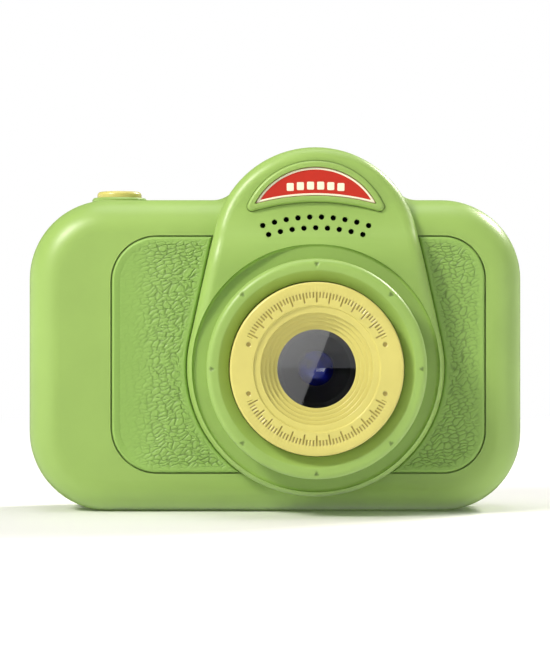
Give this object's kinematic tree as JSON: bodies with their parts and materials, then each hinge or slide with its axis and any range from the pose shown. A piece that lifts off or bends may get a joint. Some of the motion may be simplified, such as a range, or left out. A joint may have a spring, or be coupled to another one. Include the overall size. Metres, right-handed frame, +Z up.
{
  "type": "kids digital camera",
  "caption": "Toy compact camera with a bell-shaped lens hump, big lens ring, rear display, keys and a top shutter button.",
  "frame": {"origin": "middle of the overall box at the level the camera stands on", "axes": "+Z up, the lens looks along -Y, the display faces +Y, +X to the right seen from the front"},
  "size_m": [0.091, 0.0444, 0.067],
  "materials": {
    "green_plastic": "satin moulded",
    "green_grain": "moulded leather grain",
    "yellow_plastic": "satin moulded",
    "red_plastic": "printed",
    "lens_glass": "polished",
    "coated_glass": "coated",
    "window_glass": "back-printed, polished",
    "black_plastic": "fine matt",
    "board_green": "solder mask",
    "chip_black": "moulded",
    "steel": "plain",
    "screw_steel": "blackened",
    "lcd_glass": "matt",
    "foam": "foam",
    "cloth_black": "fine mesh",
    "battery_foil": "foil pouch",
    "ribbon_amber": "polyimide",
    "wire_red": "insulation",
    "switch_white": "moulded"
  },
  "bodies": {
    "case": {"badge_frame": "green_plastic", "badge_inlay": "red_plastic", "battery": "battery_foil", "battery_leads": "wire_red", "battery_pad": "foam", "board_chips": "chip_black", "board_screws": "steel", "camera_cell": "black_plastic", "camera_lens": "coated_glass", "camera_ribbon": "ribbon_amber", "camera_sensor": "chip_black", "card_socket": "steel", "case_screws": "screw_steel", "display_gasket": "foam", "display_ribbon": "ribbon_amber", "display_window": "window_glass", "front_shell": "green_plastic", "grip_panel_left": "green_grain", "grip_panel_right": "green_grain", "key_board": "board_green", "key_ribbon": "ribbon_amber", "key_switches": "switch_white", "lcd_module": "lcd_glass", "lens_barrel": "green_plastic", "lens_ring": "yellow_plastic", "lens_window": "lens_glass", "main_board": "board_green", "microphone": "steel", "rear_shell": "green_plastic", "selfie_camera": "black_plastic", "selfie_lens": "coated_glass", "selfie_ribbon": "ribbon_amber", "selfie_window": "window_glass", "shutter_board": "board_green", "shutter_collar": "green_plastic", "shutter_switch": "switch_white", "speaker": "black_plastic", "speaker_cloth": "cloth_black", "speaker_leads": "wire_red", "strap_bar": "steel", "usb_port": "steel"},
    "power_key": {"power_button": "yellow_plastic", "power_plunger": "chip_black"},
    "up_key": {"up_button": "yellow_plastic", "up_plunger": "chip_black"},
    "settings_key": {"settings_button": "yellow_plastic", "settings_plunger": "chip_black"},
    "gallery_key": {"gallery_button": "yellow_plastic", "gallery_plunger": "chip_black"},
    "down_key": {"down_button": "yellow_plastic", "down_plunger": "chip_black"},
    "shutter_key": {"shutter_button": "yellow_plastic", "shutter_plunger": "chip_black"}
  },
  "joints": [
    {"name": "power_press", "type": "slide", "parent": "case", "child": "power_key", "axis": [0, -1, 0], "range_m": [0, 0.0005], "stiffness_N_per_m": 1000},
    {"name": "up_press", "type": "slide", "parent": "case", "child": "up_key", "axis": [0, -1, 0], "range_m": [0, 0.0005], "stiffness_N_per_m": 1000},
    {"name": "settings_press", "type": "slide", "parent": "case", "child": "settings_key", "axis": [0, -1, 0], "range_m": [0, 0.0005], "stiffness_N_per_m": 1000},
    {"name": "gallery_press", "type": "slide", "parent": "case", "child": "gallery_key", "axis": [0, -1, 0], "range_m": [0, 0.0005], "stiffness_N_per_m": 1000},
    {"name": "down_press", "type": "slide", "parent": "case", "child": "down_key", "axis": [0, -1, 0], "range_m": [0, 0.0005], "stiffness_N_per_m": 1000},
    {"name": "shutter_press", "type": "slide", "parent": "case", "child": "shutter_key", "axis": [0, 0, -1], "range_m": [0, 0.0008], "stiffness_N_per_m": 800}
  ]
}
